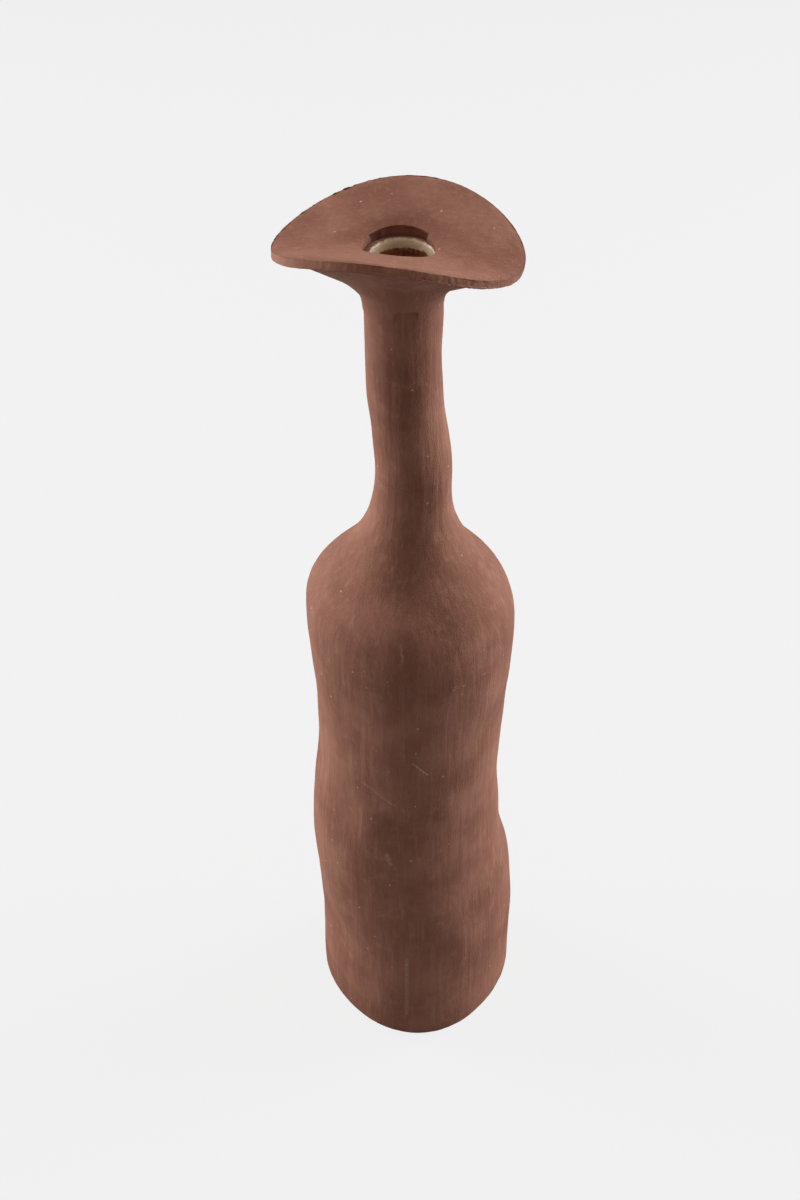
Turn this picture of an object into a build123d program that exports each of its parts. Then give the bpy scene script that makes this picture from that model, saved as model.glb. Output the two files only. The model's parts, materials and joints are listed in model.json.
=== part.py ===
"""Hand-built stoneware bud vase, one solid per piece of clay, plus its coat of glaze.

The vase stands on +Z up. The origin is the middle of the foot, on the surface that it
stands on. +X is the viewer's right and -Y is the front. All lengths are in millimetres.

The potter's pieces, from the bottom: a slab for the floor, a coil pressed into the inside
corner, three bands of wall, a domed shoulder, a coil smoothed round the root of the neck,
the neck tube, a collar of clay packed under the brim, and the folded brim with the mouth
cut through it. The glaze is a thin glass coat on the inside.
"""
from build123d import *
from math import atan2, cos, pi, radians, sin
import os

# Driving dimensions
MOUTH_HEIGHT = 330.0  # top of the brim at the middle of the mouth
MOUTH_X = -6.9  # the mouth stands this far to the left of the foot
MOUTH_RADIUS = 10.6
MOUTH_UNDERCUT = 0.6  # the hollow is this much wider just under the brim
FLOOR_THICKNESS = 6.5
FLOOR_COIL = [(0.0, 7.0), (1.6, 3.6), (4.4, 1.5), (9.0, 0.5)]  # height over floor, width
LOWER_JOINT = 64.0  # where the lower band of wall meets the middle one
MIDDLE_JOINT = 96.0
SHOULDER_JOINT = 178.0
NECK_JOINT = 230.0
NECK_TOP = 326.0  # the tube ends here; the collar closes the gap up to the brim
NECK_TUBE_RADIUS = 12.1  # outside of the plain tube where it runs up under the brim
GLAZE_THICKNESS = 0.6
GLAZE_TOP = 325.6

BRIM_HALF_WIDTH = 37.3
BRIM_HALF_DEPTH = 32.0
BRIM_SET_BACK = 1.5  # the back of the brim reaches this much further, the front less
BRIM_THICKNESS = 3.4
BRIM_LIFT = 2.6  # the mean height of the brim's edge over the mouth
BRIM_FOLD = 5.3  # the edge goes up by this at the front and back, and down at the sides
BRIM_FOLD_TURN = -13.0  # degrees: the line of the fold, from the +X axis
BRIM_TILT_FRONT = 3.1
BRIM_TILT_LEFT = 1.6
BRIM_DISH = 1.5  # power of the rise from the middle to the edge
BRIM_INNER = 0.2  # the fold begins this far out from the middle
BRIM_RINGS = 8
EDGE_RINGS = 6
COLLAR_DEPTH = 11.4  # brim and collar together, where the collar leaves the neck
COLLAR_START = 0.46
COLLAR_REACH = 0.86  # the collar runs out this far along the brim
COLLAR_EDGE = 0.4
COLLAR_FOOT = [(306.0, 11.6), (310.0, 12.15), (313.0, 12.7), (315.5, 13.6)]  # height and radius on the neck

RING_POINTS = 24
SKIN_RINGS = 40
CORE_RADIUS = 4.0  # flat middle of the brim, which the mouth takes away
BIG = 400.0

# The outside of the vase: height, shift to the right, half width, half depth, and how much
# wider the back is than the front. The walls lean and swell as the potter's hands left them.
OUTSIDE = [
    (0.0, 0.0, 36.2, 37.3, 0.15),
    (20.0, 0.2, 36.4, 37.0, 0.14),
    (42.0, 0.0, 36.5, 36.6, 0.12),
    (60.0, -1.4, 36.4, 36.2, 0.10),
    (70.0, -2.6, 36.0, 35.6, 0.08),
    (80.0, -4.2, 35.1, 34.8, 0.07),
    (92.0, -4.4, 34.7, 35.0, 0.06),
    (108.0, -4.3, 33.4, 34.6, 0.06),
    (128.0, -3.0, 32.7, 34.0, 0.05),
    (150.0, -2.6, 33.4, 34.2, 0.05),
    (172.0, -2.5, 34.9, 34.9, 0.04),
    (188.0, -2.9, 35.5, 34.9, 0.03),
    (199.0, -4.0, 33.6, 33.0, 0.02),
    (208.0, -3.7, 27.5, 27.2, 0.01),
    (215.0, -3.5, 21.5, 21.3, 0.0),
    (221.0, -3.2, 17.7, 17.6, 0.0),
    (228.0, -3.0, 14.6, 14.6, 0.0),
    (237.0, -2.6, 13.1, 13.1, 0.0),
    (248.0, -2.1, 12.6, 12.6, 0.0),
    (260.0, -3.1, 12.2, 12.2, 0.0),
    (274.0, -4.8, 11.9, 11.9, 0.0),
    (290.0, -5.5, 11.8, 11.8, 0.0),
    (304.0, -5.5, 12.0, 12.0, 0.0),
    (318.0, -5.7, NECK_TUBE_RADIUS, NECK_TUBE_RADIUS, 0.0),
    (332.0, -6.0, NECK_TUBE_RADIUS, NECK_TUBE_RADIUS, 0.0),
]

# The bed that the coil round the neck's root lies on: height, shift to the right, radius.
NECK_COIL_BED = [
    (212.0, -3.6, 25.6),
    (217.0, -3.4, 18.6),
    (222.0, -3.2, 15.2),
    (229.0, -2.9, 12.9),
    (238.0, -2.6, 12.1),
    (245.0, -2.3, 12.3),
    (250.0, -2.2, 13.2),
]

# Thickness of the wall at a few heights; between them it changes evenly.
WALL = [(0.0, 5.2), (100.0, 4.8), (200.0, 4.2), (240.0, 3.5), (312.0, 3.3), (332.0, 1.2)]


def wall_at(height):
    for (low, thick_low), (high, thick_high) in zip(WALL, WALL[1:]):
        if height <= high:
            share = (height - low) / (high - low)
            return thick_low + share * (thick_high - thick_low)
    return WALL[-1][1]


def ring(height, shift, half_width, half_depth, egg):
    """One closed level outline round the vase, an oval that is wider at the back."""
    points = []
    for step in range(RING_POINTS):
        turn = 2 * pi * step / RING_POINTS
        x = shift + half_width * cos(turn) * (1 + egg * sin(turn))
        y = half_depth * sin(turn)
        points.append((x, y, height))
    return Wire([Edge.make_spline(points, periodic=True)])


def rise(index, column):
    """Slope of one column of OUTSIDE at a row, from the rows above and below."""
    below = OUTSIDE[max(index - 1, 0)]
    above = OUTSIDE[min(index + 1, len(OUTSIDE) - 1)]
    return (above[column] - below[column]) / (above[0] - below[0])


def outline_at(height):
    """Shift, half width, half depth and egg at any height: smooth curves through the rows."""
    index = 0
    while index < len(OUTSIDE) - 2 and height > OUTSIDE[index + 1][0]:
        index += 1
    span = OUTSIDE[index + 1][0] - OUTSIDE[index][0]
    share = (height - OUTSIDE[index][0]) / span
    values = []
    for column in range(1, 5):
        start = OUTSIDE[index][column]
        change = OUTSIDE[index + 1][column] - start
        leave = rise(index, column) * span - change
        arrive = rise(index + 1, column) * span - change
        bend = leave * (1 - share) - arrive * share
        values.append(start + share * change + share * (1 - share) * bend)
    return values


def skin(sink_of):
    """The solid inside the outer surface, sunk square to it by sink_of(height)."""
    rings = []
    top = OUTSIDE[-1][0]
    for step in range(SKIN_RINGS + 1):
        height = top * step / SKIN_RINGS
        shift, half_width, half_depth, egg = outline_at(height)
        narrowing = outline_at(max(height - 1, 0))[1] - outline_at(min(height + 1, top))[1]
        lean = atan2(narrowing, 2)
        across = sink_of(height) * cos(lean)
        down = sink_of(height) * sin(lean) if 0 < step < SKIN_RINGS else 0.0
        rings.append(ring(height - down, shift, half_width - across, half_depth - across, egg))
    return Solid.make_loft(rings)


def between(low, high):
    """A slab of space, to cut one level band out of a solid."""
    return Pos(0, 0, (low + high) / 2) * Box(BIG, BIG, high - low)


def lowest(shape):
    return shape.solids().sort_by(Axis.Z)[0]


def brim_edge(turn):
    """Height of the brim's edge over the mouth: a sheet folded once and tipped."""
    fold = -BRIM_FOLD * cos(2 * (turn - radians(BRIM_FOLD_TURN)))
    return BRIM_LIFT + fold - BRIM_TILT_FRONT * sin(turn) - BRIM_TILT_LEFT * cos(turn)


def brim_ring(reach, drop):
    """An outline round the brim, `reach` of the way out and `drop` under its top face."""
    points = []
    for step in range(RING_POINTS):
        turn = 2 * pi * step / RING_POINTS
        x = MOUTH_X + reach * BRIM_HALF_WIDTH * cos(turn)
        y = reach * (BRIM_HALF_DEPTH * sin(turn) + BRIM_SET_BACK * sin(turn) ** 2)
        z = MOUTH_HEIGHT + brim_edge(turn) * reach**BRIM_DISH - drop
        points.append((x, y, z))
    return Wire([Edge.make_spline(points, periodic=True)])


def level_round(radius, height, x=MOUTH_X):
    return ring(height, x, radius, radius, 0.0)


def floor_opening(extra):
    """The rounded bottom of the hollow, which the coil in its corner leaves open."""
    height, shift, half_width, half_depth, egg = OUTSIDE[1]
    rings = []
    for above_floor, width in FLOOR_COIL:
        sink = wall_at(FLOOR_THICKNESS + above_floor) + width + extra
        level = FLOOR_THICKNESS + above_floor + extra
        rings.append(ring(level, shift, half_width - sink, half_depth - sink, egg))
    return Solid.make_loft(rings)


def neck_coil():
    """The coil smoothed into the hollow between the shoulder and the neck."""
    bed = Solid.make_loft([level_round(radius, z, x) for z, x, radius in NECK_COIL_BED])
    low = NECK_COIL_BED[0][0]
    high = NECK_COIL_BED[-1][0]
    return (outer & between(low, high)) - bed


def even_steps(first, last, count):
    """`count` values spread evenly from first to last."""
    return [first + (last - first) * step / (count - 1) for step in range(count)]


def brim_blank():
    """The folded sheet with a half-round edge, before the mouth is cut."""
    half = BRIM_THICKNESS / 2
    flat = 1.0 - half / BRIM_HALF_WIDTH
    steps = even_steps(BRIM_INNER, flat, BRIM_RINGS)
    rings = [level_round(CORE_RADIUS, MOUTH_HEIGHT)]
    rings += [brim_ring(reach, 0.0) for reach in steps]
    for step in range(1, EDGE_RINGS):
        turn = pi * step / EDGE_RINGS
        rings.append(brim_ring(flat + (1.0 - flat) * sin(turn), half * (1 - cos(turn))))
    rings += [brim_ring(reach, BRIM_THICKNESS) for reach in reversed(steps)]
    rings += [level_round(CORE_RADIUS, MOUTH_HEIGHT - BRIM_THICKNESS)]
    return Solid.make_loft(rings, ruled=True)


def collar_blank():
    """A flared plug of clay from the neck out under the brim; its top lies inside the brim."""
    neck_x = OUTSIDE[-2][1]
    rings = [level_round(radius, z, neck_x) for z, radius in COLLAR_FOOT]
    thin = BRIM_THICKNESS + COLLAR_EDGE
    for reach in even_steps(COLLAR_START, COLLAR_REACH, BRIM_RINGS):
        share = (COLLAR_REACH - reach) / (COLLAR_REACH - COLLAR_START)
        rings.append(brim_ring(reach, thin + share * (COLLAR_DEPTH - thin)))
    middle = BRIM_THICKNESS / 2
    steps = even_steps(COLLAR_REACH - 0.02, BRIM_INNER, BRIM_RINGS)
    rings += [brim_ring(reach, middle) for reach in steps]
    rings += [level_round(CORE_RADIUS, MOUTH_HEIGHT - middle)]
    return Solid.make_loft(rings, ruled=True)


def mouth(radius, bottom):
    """A round cutter that comes down through the brim to a level."""
    height = 2 * (MOUTH_HEIGHT - bottom)
    return Pos(MOUTH_X, 0, bottom + height / 2) * Cylinder(radius, height)


outer = skin(lambda height: 0.0)
hollow = skin(wall_at) & between(FLOOR_THICKNESS, BIG)
floor_coil = (hollow & between(0, FLOOR_THICKNESS + FLOOR_COIL[-1][0])) - floor_opening(0.0)
root_coil = neck_coil()
brim = brim_blank()
walls = outer - hollow - root_coil
neck_plug = outer & between(0, NECK_TOP)
undercut = mouth(MOUTH_RADIUS + MOUTH_UNDERCUT, NECK_TOP)

# The glaze lies on the floor, on the coil in the corner and on the walls, up into the neck.
glaze_floor = FLOOR_THICKNESS + GLAZE_THICKNESS
glaze_corner_top = glaze_floor + FLOOR_COIL[-1][0]
glaze_corner = between(0, glaze_corner_top) - floor_opening(GLAZE_THICKNESS)
glaze_hollow = (skin(lambda height: wall_at(height) + GLAZE_THICKNESS) & between(glaze_floor, BIG)) - glaze_corner
glaze = ((hollow - floor_coil) & between(0, GLAZE_TOP)) - glaze_hollow

pieces = {
    "base_slab": outer & between(0, FLOOR_THICKNESS),
    "floor_coil": floor_coil,
    "lower_wall": walls & between(FLOOR_THICKNESS, LOWER_JOINT),
    "middle_wall": walls & between(LOWER_JOINT, MIDDLE_JOINT),
    "upper_wall": walls & between(MIDDLE_JOINT, SHOULDER_JOINT),
    "shoulder_dome": walls & between(SHOULDER_JOINT, NECK_JOINT),
    "neck_root_coil": root_coil,
    "neck_tube": lowest((walls & between(NECK_JOINT, NECK_TOP)) - brim),
    "brim_collar": lowest(collar_blank() - brim - neck_plug - undercut),
    "brim": brim - mouth(MOUTH_RADIUS, NECK_TOP - BRIM_THICKNESS),
    "inner_glaze": glaze,
}

os.makedirs("parts", exist_ok=True)
for name, piece in pieces.items():
    solids = piece.solids()
    print(name, "solids", len(solids), "volume", round(piece.volume), "valid", piece.is_valid)
    export_step(piece, f"parts/{name}.step")
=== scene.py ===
# %% [markdown]
# A hand-built bud vase, piece by piece.
# The real vase is one fired pot, but a potter makes it from separate pieces of clay: a floor, bands of
# wall, a domed shoulder, a neck, a packed collar and a folded brim, with glaze poured inside. The packed
# frame holds those pieces as plain solids at their true size. This lesson gives each one the surface that
# fingers and a rib leave on clay, and the colours of bare stoneware and of glaze.

# %% Load the frame
import json
from math import atan2, cos, pi, radians, sin

import bpy
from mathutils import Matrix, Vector


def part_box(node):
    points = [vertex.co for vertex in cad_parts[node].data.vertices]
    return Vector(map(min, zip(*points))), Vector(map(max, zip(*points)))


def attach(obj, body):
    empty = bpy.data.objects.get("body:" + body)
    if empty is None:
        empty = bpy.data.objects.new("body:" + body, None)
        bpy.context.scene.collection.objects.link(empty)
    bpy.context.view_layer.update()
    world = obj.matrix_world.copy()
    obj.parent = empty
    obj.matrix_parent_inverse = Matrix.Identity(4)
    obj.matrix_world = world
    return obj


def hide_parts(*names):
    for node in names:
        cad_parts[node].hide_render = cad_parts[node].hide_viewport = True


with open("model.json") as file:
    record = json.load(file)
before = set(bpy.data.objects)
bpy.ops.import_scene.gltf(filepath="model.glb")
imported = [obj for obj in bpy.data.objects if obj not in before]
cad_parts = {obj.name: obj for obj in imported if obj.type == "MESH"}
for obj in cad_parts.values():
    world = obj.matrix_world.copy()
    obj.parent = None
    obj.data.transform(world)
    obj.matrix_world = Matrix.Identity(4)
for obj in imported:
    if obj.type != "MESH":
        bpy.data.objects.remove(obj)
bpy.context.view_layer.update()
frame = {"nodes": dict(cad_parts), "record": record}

nodes = frame["nodes"]
MM = 0.001

# %% [markdown]
# Every piece is modelled with the same few moves as by hand: pick an object, open edit mode, select by
# place, run an operator, and apply a modifier. Small helpers keep those moves short. Nothing else may stay
# selected, because an operator acts on all that is selected.

# %% Helpers for selecting and for modifiers
MERGE_CAD = 0.01 * MM  # corners of CAD pieces that are closer than this are one


def activate(piece):
    """Makes this piece the only one selected, in object mode."""
    if bpy.context.object and bpy.context.object.mode != "OBJECT":
        bpy.ops.object.mode_set(mode="OBJECT")
    bpy.ops.object.select_all(action="DESELECT")
    piece.select_set(True)
    bpy.context.view_layer.objects.active = piece


def edit(piece, test=None, kind="VERT"):
    """Opens edit mode with the vertices selected whose place passes the test."""
    activate(piece)
    mesh = piece.data
    for parts in (mesh.polygons, mesh.edges):
        parts.foreach_set("select", [False] * len(parts))
    if test:
        chosen = [bool(test(vertex.co)) for vertex in mesh.vertices]
    else:
        chosen = [True] * len(mesh.vertices)
    mesh.vertices.foreach_set("select", chosen)
    bpy.ops.object.mode_set(mode="EDIT")
    bpy.ops.mesh.select_mode(type="VERT")
    if kind != "VERT":
        bpy.ops.mesh.select_mode(type=kind)


def done():
    """Back to object mode."""
    bpy.ops.object.mode_set(mode="OBJECT")


def modify(piece, kind, **settings):
    """Adds a modifier with these settings and applies it."""
    modifier = piece.modifiers.new(kind.title(), kind)
    for name, value in settings.items():
        setattr(modifier, name, value)
    activate(piece)
    bpy.ops.object.modifier_apply(modifier=modifier.name)


def round_off(piece, levels=2):
    """Rounds a coarse cage into a smooth surface."""
    modify(piece, "SUBSURF", levels=levels, render_levels=levels)


def face_outwards(piece):
    edit(piece)
    bpy.ops.mesh.normals_make_consistent(inside=False)
    done()


def copy_of(piece, name):
    """A copy with a mesh of its own and no parent."""
    twin = piece.copy()
    twin.data = piece.data.copy()
    twin.name = name
    bpy.context.scene.collection.objects.link(twin)
    twin.parent = None
    return twin


def named(name):
    """The object just made, with its place moved into its mesh."""
    piece = bpy.context.object
    piece.name = name
    bpy.ops.object.transform_apply(location=True, rotation=True, scale=True)
    return piece


def discard(piece):
    bpy.data.meshes.remove(piece.data)


def target_from(name, *members):
    """One merged mesh of CAD nodes, to pull new surfaces onto."""
    twins = [copy_of(nodes[member], name) for member in members]
    activate(twins[0])
    for twin in twins:
        twin.select_set(True)
    bpy.ops.object.join()
    joined = bpy.context.object
    edit(joined)
    bpy.ops.mesh.remove_doubles(threshold=MERGE_CAD)
    done()
    return joined


def upright_tube(name, around, radius, middle_x, low, high, row):
    """An open tube between two heights, with its long edges cut into level rows."""
    depth = high - low
    bpy.ops.object.select_all(action="DESELECT")
    bpy.ops.mesh.primitive_cylinder_add(vertices=around, radius=radius, depth=depth,
                                        end_fill_type="NOTHING",
                                        location=(middle_x, 0, low + depth / 2))
    tube = named(name)
    edit(tube, lambda place: False, "EDGE")
    done()
    for edge in tube.data.edges:
        ends = [tube.data.vertices[index].co.z for index in edge.vertices]
        edge.select = abs(ends[0] - ends[1]) > row
    bpy.ops.object.mode_set(mode="EDIT")
    bpy.ops.mesh.subdivide(number_cuts=round(depth / row) - 1)
    done()
    return tube


print("helpers are ready, and the frame has", len(nodes), "nodes")

# %% [markdown]
# The outside of the walls is one skin from the foot to the top of the neck, as a potter smooths it in one
# go over all the joints. It starts as an open cylinder that is wider than the vase. Its long edges are
# subdivided into level rows, and Shrinkwrap pulls every row in onto the clay of the frame. A revolved
# outline could not lean and swell to one side as this body does.

# %% Pull a cylinder onto the clay
COLUMNS = 96
ROW = 3 * MM
FOOT_GAP = 0.3 * MM
SKIN_TOP = 325.3 * MM
START_RADIUS = 60 * MM  # wider than the vase at any height
AXIS_FROM_NECK = 2 * MM  # the tube stands this far to the right of the neck's middle

clay_cad = target_from("clay_target", "base_slab", "lower_wall", "middle_wall", "upper_wall",
                       "shoulder_dome", "neck_root_coil", "neck_tube")
neck_low, neck_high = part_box("neck_tube")
axis_x = (neck_low.x + neck_high.x) / 2 + AXIS_FROM_NECK
skin = upright_tube("skin", COLUMNS, START_RADIUS, axis_x, FOOT_GAP, SKIN_TOP, ROW)
modify(skin, "SHRINKWRAP", target=clay_cad, wrap_method="PROJECT",
       use_positive_direction=False, use_negative_direction=True)
edit(skin, lambda place: place.z < 2 * FOOT_GAP)
bpy.ops.transform.translate(value=(0, 0, -FOOT_GAP))
done()
print("skin cage:", len(skin.data.vertices), "vertices")
spread = [max(abs(v.co.x - axis_x), abs(v.co.y)) for v in skin.data.vertices]
print("widest", round(max(spread) / MM, 1), "narrowest", round(min(spread) / MM, 1), "mm")

# %% [markdown]
# Four kinds of unevenness make the clay look hand-made. Fingers leave hollows and ridges, squeezing the
# wall leaves slow swells, a rib drawn up the wall leaves long shallow grooves, and the clay has a grain.
# The cage is coarse enough to push at listed spots first: a spot is picked, and proportional editing spreads
# the push over the clay around it.

# %% Push the clay at listed spots
SAME_POINT = 1e-7


def push(piece, spot, by, reach):
    """Moves the point nearest to the spot by a vector, and the clay within reach less and less."""
    spot = Vector(spot) * MM
    nearest = min(piece.data.vertices, key=lambda vertex: (vertex.co - spot).length)
    place = nearest.co.copy()
    edit(piece, lambda co: (co - place).length < SAME_POINT)
    bpy.ops.transform.translate(value=Vector(by) * MM, use_proportional_edit=True,
                                proportional_edit_falloff="SMOOTH", proportional_size=reach * MM,
                                use_proportional_connected=True)
    done()


# Where, by how much and how far round, in millimetres: hollows that fingers left, and ridges between them.
HAND_MARKS = [
    ((-3, -35, 112), (0.0, 1.1, 0.0), 14),
    ((-26, -24, 114), (0.6, 0.6, 0.0), 13),
    ((-5, -36, 98), (0.0, -0.5, 0.0), 9),
    ((-7, -34, 127), (0.0, -0.4, 0.0), 8),
    ((-31, -18, 40), (1.4, 1.0, 0.0), 17),
    ((-32, -14, 60), (-0.5, -0.3, 0.0), 9),
    ((-6, -30, 204), (0.0, -0.9, 0.3), 11),
    ((8, -29, 201), (0.0, 0.6, -0.3), 11),
    ((28, -18, 150), (-0.7, 0.4, 0.0), 18),
    ((9, -33, 166), (0.0, 0.8, 0.0), 15),
    ((-21, -28, 160), (0.6, 0.5, 0.0), 17),
    ((3, -36, 44), (0.0, 0.8, 0.0), 18),
    ((20, -30, 66), (-0.3, 0.6, 0.0), 14),
    ((-8, -12, 284), (0.0, 0.4, 0.0), 9),
    ((-3, -11, 262), (0.0, -0.3, 0.0), 8),
    ((6, 35, 120), (0.0, -1.1, 0.0), 20),
    ((-22, 28, 62), (0.6, -0.8, 0.0), 16),
    ((22, 28, 175), (-0.5, -0.7, 0.0), 15),
    ((30, 12, 45), (-0.8, 0.0, 0.0), 14),
]
for spot, by, reach in HAND_MARKS:
    push(skin, spot, by, reach)
print("hand marks:", len(HAND_MARKS))

# %% [markdown]
# Subdivision rounds the cage, and Displace then moves its surface in and out in a cloudy pattern. The
# pattern is read from an empty at the origin. An empty that is scaled up draws the pattern out upwards,
# which turns round clouds into the long grooves of a rib.

# %% Round the cage and add swells, grooves and grain
MID_LEVEL = 0.55  # over one half, so that clay is moved in a little more than out


def displace(piece, pattern, size, height, octaves=1, stretch=1.0, **settings):
    """Moves the surface by `height` over all, in clouds of this size; both are in millimetres."""
    texture = bpy.data.textures.new(pattern, "CLOUDS")
    texture.noise_scale = size * MM
    texture.noise_depth = octaves
    bpy.ops.object.empty_add(location=(0, 0, 0))
    guide = bpy.context.object
    guide.scale = (1, 1, stretch)
    modify(piece, "DISPLACE", texture=texture, strength=height * MM, mid_level=MID_LEVEL,
           texture_coords="OBJECT", texture_coords_object=guide, **settings)
    bpy.data.objects.remove(guide)


round_off(skin)
displace(skin, "swells", size=26, height=1.0)
displace(skin, "rib grooves", size=3.2, height=0.22, octaves=2, stretch=9)
displace(skin, "grain", size=0.9, height=0.10, octaves=2)
face_outwards(skin)
print("skin:", len(skin.data.polygons), "faces")

# %% [markdown]
# The wall gets its thickness with Solidify: five millimetres low down, a little over three in the neck and
# two at its top edge, which a vertex group sets. Each band of wall is then a copy of the whole wall, cut
# level at its two joints by Bisect, so the faces where two bands meet fit exactly and the outside runs on
# without a step.

# %% Thicken the wall and cut the bands
WALL = 5.0  # thicknesses are in millimetres
NECK_WALL = 3.4
LIP_WALL = 1.9
NECK_START = 215 * MM
NECK_END = 240 * MM
LIP_START = 312 * MM


def wall_share(height):
    """How thick the wall is at a height, as a share of WALL."""
    rise = min(max((height - NECK_START) / (NECK_END - NECK_START), 0), 1)
    lip = min(max((height - LIP_START) / (SKIN_TOP - LIP_START), 0), 1)
    thick = WALL + (NECK_WALL - WALL) * rise + (LIP_WALL - NECK_WALL) * lip
    return thick / WALL


def thicken(piece, thickness, share):
    """Adds a wall inwards; share(height) says how much of the thickness it has at a height."""
    group = piece.vertex_groups.new(name="thickness")
    for vertex in piece.data.vertices:
        group.add([vertex.index], share(vertex.co.z), "REPLACE")
    modify(piece, "SOLIDIFY", thickness=thickness * MM, offset=-1, use_rim=True,
           vertex_group="thickness")


def cut(piece, height, keep_above):
    """Cuts the piece level at a height and closes the cut."""
    edit(piece)
    bpy.ops.mesh.bisect(plane_co=(0, 0, height), plane_no=(0, 0, 1), use_fill=True,
                        clear_inner=keep_above, clear_outer=not keep_above)
    done()


def band(source, name, low, high=None):
    """A copy of the wall between two heights, or from the first one up."""
    piece = copy_of(source, name)
    cut(piece, low, keep_above=True)
    if high is not None:
        cut(piece, high, keep_above=False)
    print(name, len(piece.data.polygons), "faces")
    return piece


def joint(lower, upper):
    """The height where two CAD pieces meet."""
    return (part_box(lower)[1].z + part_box(upper)[0].z) / 2


floor_top = joint("base_slab", "lower_wall")
low_joint = joint("lower_wall", "middle_wall")
mid_joint = joint("middle_wall", "upper_wall")
shoulder_joint = joint("upper_wall", "shoulder_dome")
neck_joint = joint("shoulder_dome", "neck_tube")

wall = copy_of(skin, "wall")
thicken(wall, WALL, wall_share)
lower_wall = band(wall, "lower_wall_clay", floor_top, low_joint)
middle_wall = band(wall, "middle_wall_clay", low_joint, mid_joint)
upper_wall = band(wall, "upper_wall_clay", mid_joint, shoulder_joint)

# %% [markdown]
# A coil of clay was smoothed into the hollow where the neck leaves the shoulder. It is a copy of the skin
# between its two feathered ends, with a thickness of its own. The dome and the neck under it are pushed in
# by the same thickness, so that the coil lies on them and nothing crosses.

# %% Lay the coil round the neck's root
COIL_WALL = 1.6
COIL_EDGE = 0.12  # the share of that thickness which is left at the coil's two ends

coil_low, coil_high = (corner.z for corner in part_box("neck_root_coil"))


def coil_share(height):
    """Thickest in the middle of the coil and thin at both ends."""
    across = (height - coil_low) / (coil_high - coil_low)
    return COIL_EDGE + (1 - COIL_EDGE) * sin(pi * min(max(across, 0), 1))


def make_bed(piece):
    """Pushes the piece's outer face in under the coil."""
    normals = [vertex.normal.copy() for vertex in piece.data.vertices]
    for vertex, normal in zip(piece.data.vertices, normals):
        height = vertex.co.z
        outward = vertex.co - Vector((axis_x, 0, height))
        if coil_low < height < coil_high and normal.dot(outward) > 0:
            vertex.co -= normal * COIL_WALL * coil_share(height) * MM


make_bed(wall)
shoulder_dome = band(wall, "shoulder_dome_clay", shoulder_joint, neck_joint)
neck_tube = band(wall, "neck_tube_clay", neck_joint)
root_coil = copy_of(skin, "neck_root_coil_clay")
edit(root_coil)
bpy.ops.mesh.bisect(plane_co=(0, 0, coil_low), plane_no=(0, 0, 1), clear_inner=True)
bpy.ops.mesh.select_all(action="SELECT")
bpy.ops.mesh.bisect(plane_co=(0, 0, coil_high), plane_no=(0, 0, 1), clear_outer=True)
done()
thicken(root_coil, COIL_WALL, coil_share)
print("coil:", len(root_coil.data.polygons), "faces")

# %% [markdown]
# The slab of the floor is the lowest few millimetres of the same skin, filled across. A potter wipes the
# foot's edge with a sponge, so the sharp corner on the table is bevelled by about a millimetre.

# %% Make the base slab
FOOT_BEVEL = 1.1
LEVEL = 0.02 * MM  # points this close to a height lie on it

base = copy_of(skin, "base_slab_clay")
edit(base)
bpy.ops.mesh.bisect(plane_co=(0, 0, floor_top), plane_no=(0, 0, 1), clear_outer=True)
done()
for level in (0.0, floor_top):
    edit(base, lambda place: abs(place.z - level) < LEVEL)
    bpy.ops.mesh.edge_face_add()
    done()
edit(base, lambda place: place.z < LEVEL, "EDGE")
bpy.ops.mesh.bevel(offset=FOOT_BEVEL * MM, segments=3, affect="EDGES")
done()
print("base:", len(base.data.polygons), "faces")

# %% [markdown]
# The brim is one sheet of clay, folded like a leaf and cut through by a round mouth. A circle at the mouth
# is extruded outwards ring by ring, each ring resized towards the brim's oval, and the flat sheet is then
# dropped onto the brim of the frame.

# %% Drop a flat sheet onto the brim
BRIM_AROUND = 128
BRIM_RINGS = 11
BRIM_INSET = 0.997  # the brim is this much of its width in the frame
FLAT_REACH = 0.95  # the sheet is dropped on only this far out, because the rim beyond is rounded
MOUTH_CLEAR = 0.4  # its hole is this much wider than the mouth, in millimetres
MOUTH_TOP = 330.0 * MM
OVER_BRIM = 360 * MM  # the height that it is dropped from

brim_low, brim_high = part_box("brim")
mouth = next(mount for mount in frame["record"]["mounts"] if mount["name"] == "mouth")
mouth_x = mouth["pos_m"][0]
mouth_radius = mouth["dims"]["r_mm"]
half_width = BRIM_INSET * (brim_high.x - brim_low.x) / 2
half_depth = (brim_high.y - brim_low.y) / 2
set_back = (brim_high.y + brim_low.y) / 2


def oval_sheet(name, radius, height, centre, outlines):
    """A circle extruded outwards; each outline is a half width and a half depth."""
    bpy.ops.object.select_all(action="DESELECT")
    bpy.ops.mesh.primitive_circle_add(vertices=BRIM_AROUND, radius=radius * MM,
                                      location=(centre, 0, height))
    sheet = named(name)
    edit(sheet)
    wide, deep = radius * MM, radius * MM
    for next_wide, next_deep in outlines:
        bpy.ops.mesh.extrude_region_move()
        bpy.ops.transform.resize(value=(next_wide / wide, next_deep / deep, 1),
                                 center_override=(centre, 0, height))
        wide, deep = next_wide, next_deep
    done()
    for vertex in sheet.data.vertices:
        vertex.co.y += set_back * (vertex.co.y / half_depth) ** 2
    return sheet


def drop_onto(piece, target, downwards, **settings):
    """Moves every point straight down, or up, onto the target."""
    modify(piece, "SHRINKWRAP", target=target, wrap_method="PROJECT", use_project_x=False,
           use_project_y=False, use_project_z=True, use_positive_direction=not downwards,
           use_negative_direction=downwards, **settings)


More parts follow.
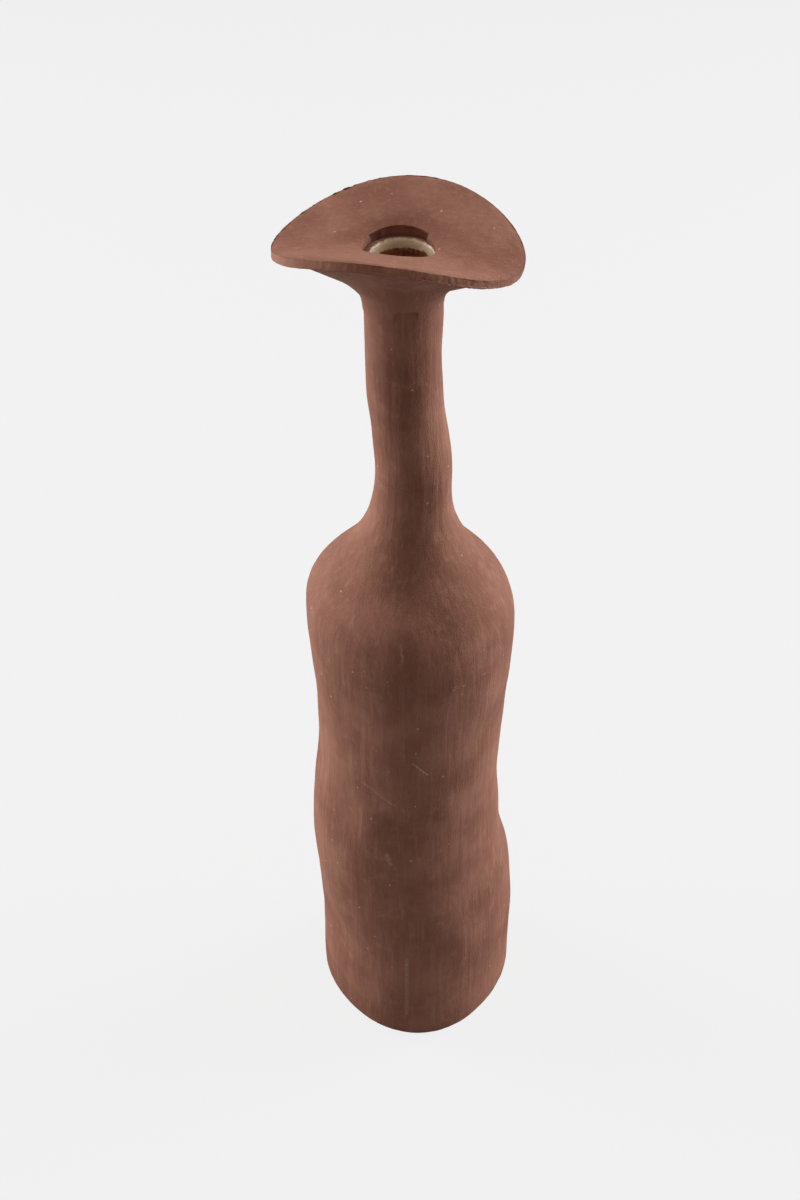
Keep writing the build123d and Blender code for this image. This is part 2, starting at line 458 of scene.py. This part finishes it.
inner = (mouth_radius + MOUTH_CLEAR) * MM
outlines = []
for ring in range(1, BRIM_RINGS + 1):
    share = ring / BRIM_RINGS
    outlines.append((inner + (FLAT_REACH * half_width - inner) * share,
                     inner + (FLAT_REACH * half_depth - inner) * share))
brim_cad = target_from("brim_target", "brim")
brim = oval_sheet("brim_clay", inner / MM, OVER_BRIM, mouth_x, outlines)
drop_onto(brim, brim_cad, downwards=True)
missed = [vertex for vertex in brim.data.vertices if vertex.co.z > OVER_BRIM - MM]
print("points that missed the brim:", len(missed))

# %% [markdown]
# The sheet stops short of the rim, which is already rounded there in the frame. Growing the whole sheet
# carries its folds on to the rim: the fold rises as the distance from the mouth to the power 1.5, so height
# grows by that power and the sheet stays on itself. Round the mouth the clay sags, and the innermost ring is
# extruded in and down three times, which rolls the lip over into the hole.

# %% Grow the sheet to the rim and turn down the lip of the mouth
DISH_POWER = 1.5
SAG_RADIUS = 17.0  # the sag begins this far from the mouth's middle
SAG_MIDDLE = 1.2
SAG_BACK = 1.4  # added at the back of the mouth and taken off at its front
RING_TOLERANCE = 0.05 * MM
# The lip's rings, in millimetres: radius, and drop from the ring before.
MOUTH_LIP = [(11.1, 0.25), (10.7, 0.55), (10.6, 1.5)]

grow = 1 / FLAT_REACH
edit(brim)
bpy.ops.transform.resize(value=(grow, grow, grow**DISH_POWER), center_override=(mouth_x, 0, MOUTH_TOP))
done()


def sink_round_mouth(piece):
    """The clay sags a little towards the mouth, and more at the back than at the front."""
    for vertex in piece.data.vertices:
        across = Vector((vertex.co.x - mouth_x, vertex.co.y))
        near = max(SAG_RADIUS * MM - across.length, 0) / ((SAG_RADIUS - mouth_radius) * MM)
        vertex.co.z -= (SAG_MIDDLE + SAG_BACK * across.y / across.length) * near**2 * MM


def mouth_ring(place):
    """Whether a place is on the innermost ring."""
    return (place - Vector((mouth_x, 0, place.z))).length < ring_radius + RING_TOLERANCE


sink_round_mouth(brim)
ring_radius = grow * inner
for radius, drop in MOUTH_LIP:
    edit(brim, mouth_ring)
    bpy.ops.mesh.extrude_region_move()
    share = radius * MM / ring_radius
    bpy.ops.transform.resize(value=(share, share, 1), center_override=(mouth_x, 0, MOUTH_TOP))
    bpy.ops.transform.translate(value=(0, 0, -drop * MM))
    done()
    ring_radius = radius * MM
face_outwards(brim)
if sum(polygon.normal.z for polygon in brim.data.polygons) < 0:
    edit(brim)
    bpy.ops.mesh.flip_normals()
    done()
print("the lip ends", round(ring_radius / MM, 1), "mm from the mouth's middle")

# %% [markdown]
# Solidify gives the sheet its thickness, downwards, so its faces have to point up first. A bevel rounds the
# rim, whose upper edge then rolls over softly. The rim crumbled where the sheet was torn to shape, and so did
# the lip a little. A vertex group holds how rough each place is, and Displace follows it.

# %% Thicken the brim, round its rim and crumble it
BRIM_THICK = 2.6
RIM_ROUND = 1.25
RIM_CORNER = radians(60)  # edges sharper than this are bevelled
ROLL_DEPTH = 0.6
BRIM_SETTLE = 0.35  # the whole brim sinks by this at the end
# Shares of the way from the mouth's middle to the rim.
ROLL_START = 0.9
CRUMB_START = 0.9
CRUMB_FADE = 0.07
LIP_END = 0.37
LIP_FADE = 0.06
# How rough the lip is, and the rim at its smoothest, where 1 is the rim at its roughest.
LIP_CRUMBS = 0.4
LEAST_CRUMBS = 0.25
# The two directions from the mouth in which the rim is roughest.
ROUGH_FRONT = radians(-60)
ROUGH_BACK = radians(125)

modify(brim, "SOLIDIFY", thickness=BRIM_THICK * MM, offset=-1, use_rim=True)
modify(brim, "BEVEL", width=RIM_ROUND * MM, segments=3, limit_method="ANGLE", angle_limit=RIM_CORNER)
round_off(brim)


def reach_of(place):
    """How far out a place on the brim is: 0 at the mouth's middle, 1 at the rim."""
    return Vector(((place.x - mouth_x) / half_width, (place.y - set_back) / half_depth)).length


normals = [vertex.normal.copy() for vertex in brim.data.vertices]
for vertex, normal in zip(brim.data.vertices, normals):
    roll = max((reach_of(vertex.co) - ROLL_START) / (1 - ROLL_START), 0)
    vertex.co.z -= ROLL_DEPTH * MM * roll**2 * (normal.z + 1) / 2
crumbs = brim.vertex_groups.new(name="crumbs")
for vertex in brim.data.vertices:
    reach = reach_of(vertex.co)
    at_rim = min(max((reach - CRUMB_START) / CRUMB_FADE, 0), 1)
    at_mouth = min(max((LIP_END - reach) / LIP_FADE, 0), 1)
    turn = atan2(vertex.co.y, vertex.co.x - mouth_x)
    rough = max(cos(turn - ROUGH_FRONT), cos(turn - ROUGH_BACK), 0) ** 3
    rim_crumbs = at_rim * (LEAST_CRUMBS + (1 - LEAST_CRUMBS) * rough)
    crumbs.add([vertex.index], max(rim_crumbs, LIP_CRUMBS * at_mouth), "REPLACE")
displace(brim, "brim swells", size=12, height=0.3)
displace(brim, "crumbled edge", size=1.5, height=0.75, octaves=3, vertex_group="crumbs")
displace(brim, "brim grain", size=1.0, height=0.12, octaves=2)
edit(brim)
bpy.ops.transform.translate(value=(0, 0, -BRIM_SETTLE * MM))
done()
print("brim:", len(brim.data.polygons), "faces")

# %% [markdown]
# The collar is the clay packed under the brim, where it runs out of the neck like a trumpet. Its underside is
# a sheet like the brim's, pushed up onto the collar of the frame. At its edge the sheet turns back inwards,
# and that upper half is pushed on up against the brim, so that the clay between them is one closed piece.

# %% Pack the collar under the brim
COLLAR_REACH = 0.86
COLLAR_START = 12.0
COLLAR_FOOT = 305.5  # the height of its lowest ring, which lies on the neck
COLLAR_FOOT_RADIUS = 11.9
COLLAR_NECK = (12.25, 12.8, 13.7)  # radii of the close rings where it leaves the neck
COLLAR_RINGS = 13
COLLAR_SWING = 0.5  # its middle moves from the neck's to the mouth's over this share of the half width
UNDER_BRIM = 290 * MM  # the height that the flat sheet is pushed up from
MERGE_COLLAR = 0.005 * MM

neck_x = -5.6 * MM
collar_cad = target_from("collar_target", "brim_collar", "brim")
collar_start = COLLAR_START * MM
outwards = [(collar_start, collar_start)] + [(radius * MM, radius * MM) for radius in COLLAR_NECK]
flare_rings = COLLAR_RINGS - len(COLLAR_NECK)
flare_start = COLLAR_NECK[-1] * MM
for ring in range(1, flare_rings + 1):
    share = ring / flare_rings
    outwards.append((flare_start + (COLLAR_REACH * half_width - flare_start) * share,
                     flare_start + (COLLAR_REACH * half_depth - flare_start) * share))
inwards = outwards[-2::-1]
collar = oval_sheet("brim_collar_clay", COLLAR_START, UNDER_BRIM, mouth_x,
                    outwards[1:] + inwards + inwards[-1:])
vertices = collar.data.vertices
under_side = collar.vertex_groups.new(name="under side")
under_side.add(range(BRIM_AROUND * COLLAR_RINGS), 1.0, "REPLACE")
top_side = collar.vertex_groups.new(name="top side")
top_side.add(range(BRIM_AROUND * COLLAR_RINGS, len(vertices)), 1.0, "REPLACE")
for vertex in vertices:
    reach = Vector((vertex.co.x - mouth_x, vertex.co.y)).length
    across = (reach - collar_start) / (COLLAR_SWING * half_width)
    vertex.co.x += (neck_x - mouth_x) * min(max(1 - across, 0), 1)
drop_onto(collar, collar_cad, downwards=False, vertex_group="under side")
drop_onto(collar, brim, downwards=False, vertex_group="top side")
vertices = collar.data.vertices
for vertex in list(vertices)[:BRIM_AROUND]:
    outward = Vector((vertex.co.x - neck_x, vertex.co.y, 0)).normalized() * COLLAR_FOOT_RADIUS * MM
    vertex.co = Vector((neck_x, 0, COLLAR_FOOT * MM)) + outward
    vertices[len(vertices) - BRIM_AROUND + vertex.index].co = vertex.co
edit(collar)
bpy.ops.mesh.remove_doubles(threshold=MERGE_COLLAR)
bpy.ops.mesh.normals_make_consistent(inside=False)
done()
round_off(collar)
displace(collar, "collar grain", size=1.1, height=0.14, octaves=2)
print("collar:", len(collar.data.polygons), "faces")

# %% [markdown]
# Glaze was poured in and out again, so a thin glassy coat lines the hollow and spreads over the top edge of
# the neck, just under the brim. A slim tube stands inside the hollow, and Shrinkwrap pushes it out onto the
# coat in the frame. Solidify then gives it nearly half a millimetre of glass, outwards, so that the near
# face stays true.

# %% Pour the glaze
GLAZE_AROUND = 64
GLAZE_ROW = 4 * MM
GLAZE_THICK = 0.45
GLAZE_LEDGE = 1.11  # the coat spreads out over the top edge of the neck by this much
TUBE_X = -4.0 * MM
TUBE_RADIUS = 3 * MM
BOTTOM_RISE = 0.9 * MM  # the tube starts over the bottom of the coat and stops under its top
TOP_DROP = 0.25 * MM
EDGE_BAND = 0.1 * MM  # points this near an end belong to it, and the ledge rises by as much

glaze_low, glaze_high = (corner.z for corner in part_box("inner_glaze"))
glaze_bottom = glaze_low + BOTTOM_RISE
glaze_top = glaze_high - TOP_DROP
glaze_cad = target_from("glaze_target", "inner_glaze")
glaze = upright_tube("inner_glaze_coat", GLAZE_AROUND, TUBE_RADIUS, TUBE_X,
                     glaze_bottom, glaze_top, GLAZE_ROW)
modify(glaze, "SHRINKWRAP", target=glaze_cad, wrap_method="PROJECT",
       use_positive_direction=True, use_negative_direction=False)
edit(glaze, lambda place: place.z > glaze_top - EDGE_BAND)
bpy.ops.mesh.extrude_region_move()
bpy.ops.transform.resize(value=(GLAZE_LEDGE, GLAZE_LEDGE, 1), center_override=(neck_x, 0, glaze_top))
bpy.ops.transform.translate(value=(0, 0, EDGE_BAND))
done()
edit(glaze, lambda place: place.z < glaze_bottom + EDGE_BAND)
bpy.ops.mesh.edge_face_add()
bpy.ops.mesh.select_all(action="SELECT")
bpy.ops.mesh.normals_make_consistent(inside=False)
done()
modify(glaze, "SOLIDIFY", thickness=GLAZE_THICK * MM, offset=1, use_rim=True)
round_off(glaze, levels=1)
print("glaze:", len(glaze.data.polygons), "faces")

# The cages and targets have done their work.
for piece in (skin, wall, clay_cad, brim_cad, collar_cad, glaze_cad):
    discard(piece)

# %% [markdown]
# Every finish is worked out in numbers that change over the clay: a noise here, a mask there, added and
# multiplied. Blender does such sums with Math nodes, which are slow to read. A small class wraps a socket,
# so that the sums can be written as plain expressions, and each expression adds its nodes.

# %% A socket that can be added and multiplied
class Shade:
    """One output in a material's node tree."""

    def __init__(self, tree, socket=None):
        self.tree = tree
        self.socket = socket

    def node(self, kind, settings=None, inputs=None, output=0):
        """Adds a node: its settings first, then the values or links of its sockets."""
        made = self.tree.nodes.new("ShaderNode" + kind)
        for name, value in (settings or {}).items():
            setattr(made, name, value)
        for name, value in (inputs or {}).items():
            socket = made.inputs[name]
            if isinstance(value, Shade):
                self.tree.links.new(value.socket, socket)
            else:
                socket.default_value = value
        return Shade(self.tree, made.outputs[output])

    def math(self, operation, first, second=0.0, clamp=False):
        settings = {"operation": operation, "use_clamp": clamp}
        return self.node("Math", settings, {0: first, 1: second})

    def __add__(self, other):
        return self.math("ADD", self, other)

    __radd__ = __add__

    def __sub__(self, other):
        return self.math("SUBTRACT", self, other)

    def __rsub__(self, other):
        return self.math("SUBTRACT", other, self)

    def __mul__(self, other):
        return self.math("MULTIPLY", self, other)

    __rmul__ = __mul__

    def __truediv__(self, other):
        return self.math("DIVIDE", self, other)

    def clamped(self):
        return self.math("ADD", self, 0.0, clamp=True)

    def between(self, low, high):
        """0 under `low`, 1 over `high`, and an even rise between them."""
        return self.node("MapRange", {"interpolation_type": "SMOOTHSTEP"},
                         {"Value": self, "From Min": low, "From Max": high})

    def noise(self, place, size, detail, roughness=0.55):
        """Noise with features about `size` across, in metres."""
        return self.node("TexNoise", None, {"Vector": place, "Scale": 1 / size, "Detail": detail,
                                            "Roughness": roughness})

    def stretched(self, place, sizes):
        """The place, with each direction divided by its own size."""
        return self.node("VectorMath", {"operation": "DIVIDE"}, {0: place, 1: sizes})

    def mix(self, share, first, second):
        """A mix of two colours, which a Mix node keeps in its sockets 6, 7 and 2."""
        return self.node("Mix", {"data_type": "RGBA"}, {0: share, 6: first, 7: second}, output=2)

    def parts(self, place):
        """x, y and z of a place."""
        split = self.node("SeparateXYZ", None, {0: place})
        return [Shade(self.tree, socket) for socket in split.socket.node.outputs]

    def bump(self, height, depth):
        """A bumped normal; depth is in metres."""
        return self.node("Bump", None, {"Height": height, "Distance": depth, "Strength": 1.0})


def new_finish(name):
    """A material with its shader, and the place on the object that patterns are read from."""
    material = bpy.data.materials.new(name)
    material.use_nodes = True
    tree = material.node_tree
    start = Shade(tree)
    place = start.node("TexCoord", output="Object")
    return material, start, place, tree.nodes["Principled BSDF"]


def plug(shader, name, value):
    value.tree.links.new(value.socket, shader.inputs[name])


# %% [markdown]
# Bare stoneware is matt and grainy. Its red-brown comes and goes in soft clouds, the rib drew faint upright
# streaks in it, whose pale ones are also painted sheen on burnished lines, fine grog stands out as pale
# specks, and scratches show lighter where they cut the skin; one pale mark under the shoulder's dent is
# partly a painted highlight as well as a scratch.
# Each of these is a mask, and the masks shift the colour a little; a strong pattern would look like stone.

# %% Mix the bare clay
CLAY = (0.345, 0.150, 0.098, 1)
CLAY_DARK = (0.25, 0.098, 0.060, 1)
CLAY_PALE = (0.43, 0.212, 0.148, 1)
GROG = (0.62, 0.44, 0.34, 1)
GROG_SPACING = 7 * MM
UPRIGHT_STRETCH = (1.0, 1.0, 14.0)
WOBBLE = 2.4  # how far scratches stray up and down, in millimetres
BUMP_DEPTH = 0.28 * MM

# Small knocks and scratches on the front, and one painted highlight, in millimetres: both ends as x and z,
# the width, and how pale.
SCRATCHES_AND_PAINTED_GLINT = [
    ((-2.1, 148.0), (3.1, 141.8), 0.5, 0.9),
    ((-10.8, 143.4), (-10.2, 142.8), 0.5, 0.6),
    ((-5.6, 124.6), (-5.2, 123.8), 0.5, 0.5),
    ((-11.0, 101.0), (-10.0, 97.0), 1.3, 0.4),
    ((-19.0, 133.0), (-8.0, 126.5), 0.9, 0.3),
    ((-3.9, 44.0), (-3.8, 12.0), 1.2, 0.25),
    # Partly a scratch and partly a painted highlight: a pale upright mark under the dent on the shoulder.
    ((-6.1, 201.0), (-5.7, 194.0), 0.7, 0.4),
    ((11.0, 181.0), (11.4, 180.6), 0.45, 0.7),
    ((14.5, 180.8), (14.9, 180.6), 0.4, 0.7),
    ((21.2, 181.2), (21.8, 181.0), 0.4, 0.6),
]


def bare_clay(name):
    material, start, place, shader = new_finish(name)
    streak_place = start.stretched(place, UPRIGHT_STRETCH)
    clouds = start.noise(place, 22 * MM, 3)
    patches = start.noise(place, 5 * MM, 4, 0.6)
    streaks = start.noise(streak_place, 1.6 * MM, 3, 0.6)
    grain = start.noise(place, 0.45 * MM, 2, 0.7)
    colour = start.mix(clouds.between(0.35, 0.68), CLAY_DARK, CLAY)
    # Each layer: its noise, the values where it begins and is full, its strength and its colour.
    layers = [
        (patches, 0.50, 0.78, 0.45, CLAY_PALE),
        # The pale streaks are rib marks and also painted sheen: they lighten the colour where burnished lines
        # would shine.
        (streaks, 0.50, 0.75, 0.35, CLAY_PALE),
        (streaks, 0.50, 0.30, 0.30, CLAY_DARK),
        (grain, 0.55, 0.75, 0.30, CLAY_PALE),
        (grain, 0.45, 0.28, 0.45, CLAY_DARK),
    ]
    for pattern, begins, full, strength, tint in layers:
        colour = start.mix(pattern.between(begins, full) * strength, colour, tint)
    cells = start.node("TexVoronoi", None, {"Vector": place, "Scale": 1 / GROG_SPACING})
    specks = cells.between(0.075, 0.03)
    colour = start.mix(specks * 0.8, colour, GROG)
    x, y, z = start.parts(place)
    front = (y * -1).between(5 * MM, 12 * MM)
    wobble = (patches - 0.5) * WOBBLE * MM
    broken = grain.between(0.38, 0.62)
    # Each mark lightens the colour towards grog; the one under the shoulder's dent is partly a painted
    # highlight.
    for (x1, z1), (x2, z2), width, pale in SCRATCHES_AND_PAINTED_GLINT:
        along_x, along_z = x2 - x1, z2 - z1
        length2 = along_x**2 + along_z**2
        share = ((x / MM - x1) * along_x + (z / MM - z1) * along_z) / length2
        share = share.clamped()
        off_x = x / MM - x1 - share * along_x
        off_z = (z + wobble) / MM - z1 - share * along_z
        away = start.math("SQRT", off_x * off_x + off_z * off_z)
        colour = start.mix(away.between(width, 0.3 * width) * front * broken * pale, colour, GROG)
    plug(shader, "Base Color", colour)
    plug(shader, "Roughness", 0.72 + patches * 0.2)
    shader.inputs["Specular IOR Level"].default_value = 0.35
    height = grain * 0.5 + streaks * 0.6 + patches * 0.5
    plug(shader, "Normal", start.bump(height, BUMP_DEPTH))
    return material


clay_finish = bare_clay("bare_stoneware")
print("bare clay:", len(clay_finish.node_tree.nodes), "nodes")

# %% [markdown]
# The glaze is cream where it lies thick, just under the mouth, and thin and brown where it ran off the wall
# further down. It is glossy, so it catches small lights that the bare clay does not.

# %% Mix the glaze
CREAM = (0.66, 0.50, 0.32, 1)
GLAZE_BROWN = (0.17, 0.065, 0.03, 1)
GLAZE_RUST = (0.33, 0.12, 0.05, 1)
BREAK_DEPTH = 2.2  # the cream breaks to brown this far under the top of the coat, in millimetres


def poured_glaze(name, top):
    material, start, place, shader = new_finish(name)
    height = start.parts(place)[2]
    mottle = start.noise(place, 1.2 * MM, 3, 0.7)
    edge = height + (mottle - 0.5) * 1.6 * MM
    thick = edge.between(top - (BREAK_DEPTH + 0.5) * MM, top - BREAK_DEPTH * MM)
    thick = thick * edge.between(top + 0.5 * MM, top - 0.1 * MM)
    brown = start.mix(mottle.between(0.42, 0.6), GLAZE_BROWN, GLAZE_RUST)
    plug(shader, "Base Color", start.mix(thick, brown, CREAM))
    plug(shader, "Roughness", 0.18 + mottle * 0.25)
    shader.inputs["Coat Weight"].default_value = 0.4
    shader.inputs["Coat Roughness"].default_value = 0.1
    plug(shader, "Normal", start.bump(mottle, 0.4 * MM))
    return material


glaze_finish = poured_glaze("poured_glaze", glaze_top)
print("glaze:", len(glaze_finish.node_tree.nodes), "nodes")

# %% [markdown]
# Each finished piece gets its finish in its first material slot and rides on a body, and the CAD node that it
# takes the place of is hidden. Nothing on a vase moves, so all of them ride on the root. The coil inside the
# corner
# of the floor can't be seen, so it stays as the frame has it and only gets the clay's finish.

# %% Give every piece its finish, put it on its body and hide its CAD node
SMOOTH_ANGLE = radians(50)

pieces = {
    "base_slab": base,
    "lower_wall": lower_wall,
    "middle_wall": middle_wall,
    "upper_wall": upper_wall,
    "shoulder_dome": shoulder_dome,
    "neck_root_coil": root_coil,
    "neck_tube": neck_tube,
    "brim_collar": collar,
    "brim": brim,
    "inner_glaze": glaze,
}
for node, piece in pieces.items():
    glassy = node == "inner_glaze"
    piece.data.materials.clear()
    piece.data.materials.append(glaze_finish if glassy else clay_finish)
    activate(piece)
    bpy.ops.object.shade_smooth_by_angle(angle=SMOOTH_ANGLE)
    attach(piece, "root")
    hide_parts(node)
hidden_coil = nodes["floor_coil"]
hidden_coil.data.materials.clear()
hidden_coil.data.materials.append(clay_finish)
triangles = sum(len(piece.data.loops) - 2 * len(piece.data.polygons) for piece in pieces.values())
print("triangles:", triangles)

# %% [markdown]
# The floor and the wall behind are a plain pale studio. Seen straight, they glow an even pale grey, and the
# light that reaches the vase from them is much weaker, so that the clay keeps its deep shaded middle.

# %% Floor and surroundings
STUDIO = 0.88
FLOOR_SIZE = 40.0
FLOOR_BOUNCE = 0.42
ROOM_LIGHT = 0.10
GLOW_SHARE = 0.94  # the rest of what is seen takes shadows

bpy.ops.object.select_all(action="DESELECT")
bpy.ops.mesh.primitive_plane_add(size=FLOOR_SIZE, location=(0, 0, 0))
floor = named("studio_floor")
material, start = new_finish("studio_floor")[:2]
tree = material.node_tree
seen = start.node("LightPath", output="Is Camera Ray")
glow = start.node("Emission", None, {"Color": (STUDIO, STUDIO, STUDIO, 1), "Strength": 1.0})
matt = start.node("BsdfDiffuse", None, {"Color": (STUDIO, STUDIO, STUDIO, 1)})
dim = start.node("BsdfDiffuse", None, {"Color": (FLOOR_BOUNCE, FLOOR_BOUNCE, FLOOR_BOUNCE, 1)})
straight = start.node("MixShader", None, {0: GLOW_SHARE, 1: matt, 2: glow})
both = start.node("MixShader", None, {0: seen, 1: dim, 2: straight})
tree.links.new(both.socket, tree.nodes["Material Output"].inputs[0])
floor.data.materials.append(material)

world = bpy.data.worlds.new("studio")
bpy.context.scene.world = world
world.use_nodes = True
tree = world.node_tree
start = Shade(tree)
seen = start.node("LightPath", output="Is Camera Ray")
glow = ROOM_LIGHT + seen * (STUDIO - ROOM_LIGHT)
tree.links.new(glow.socket, tree.nodes["Background"].inputs["Strength"])
tree.nodes["Background"].inputs["Color"].default_value = (1, 1, 1, 1)
print("studio floor:", FLOOR_SIZE, "m across")

# %% [markdown]
# Two large soft lights stand to the left and the right, a little behind the vase. They graze its sides, and
# leave the middle, which faces the viewer, in shade. A third one over it lights the shoulder and the brim,
# and a weak warm one in front keeps the shade from going black.

# %% Lights
AIM = Vector((0, 0, 0.2))


def soft_light(name, place, size, power):
    """A rectangle of light that points at the vase, in metres and watts."""
    lamp = bpy.data.lights.new(name, "AREA")
    lamp.shape = "RECTANGLE"
    lamp.size, lamp.size_y = size
    lamp.energy = power
    holder = bpy.data.objects.new(name, lamp)
    holder.location = place
    holder.rotation_euler = (AIM - Vector(place)).to_track_quat("-Z", "Y").to_euler()
    bpy.context.scene.collection.objects.link(holder)
    return holder


soft_light("right_window", place=(1.0, 0.38, 0.45), size=(0.8, 1.2), power=19)
soft_light("left_window", place=(-1.0, 0.34, 0.45), size=(0.8, 1.2), power=18)
soft_light("overhead", place=(0.0, 0.15, 1.3), size=(0.9, 0.9), power=2.4)
fill = soft_light("front_fill", place=(0.0, -1.2, 0.9), size=(1.2, 0.8), power=1.6)
fill.data.color = (1.0, 0.80, 0.68)

# %% [markdown]
# The viewer stands in front of the vase and looks down on it, so that the mouth shows as a narrow oval. A
# camera turned by 90 degrees about X looks level; this one is turned by less, so it looks 41 degrees down.

# %% Camera
camera_data = bpy.data.cameras.new("camera")
camera_data.lens = 57
camera_data.sensor_width = 36
camera = bpy.data.objects.new("camera", camera_data)
camera.location = (-0.0065, -0.4854, 0.6140)
camera.rotation_euler = (radians(49), 0, 0)
bpy.context.scene.collection.objects.link(camera)
bpy.context.scene.camera = camera
bpy.context.scene.view_settings.view_transform = "Standard"
print("camera lens:", camera_data.lens, "mm")
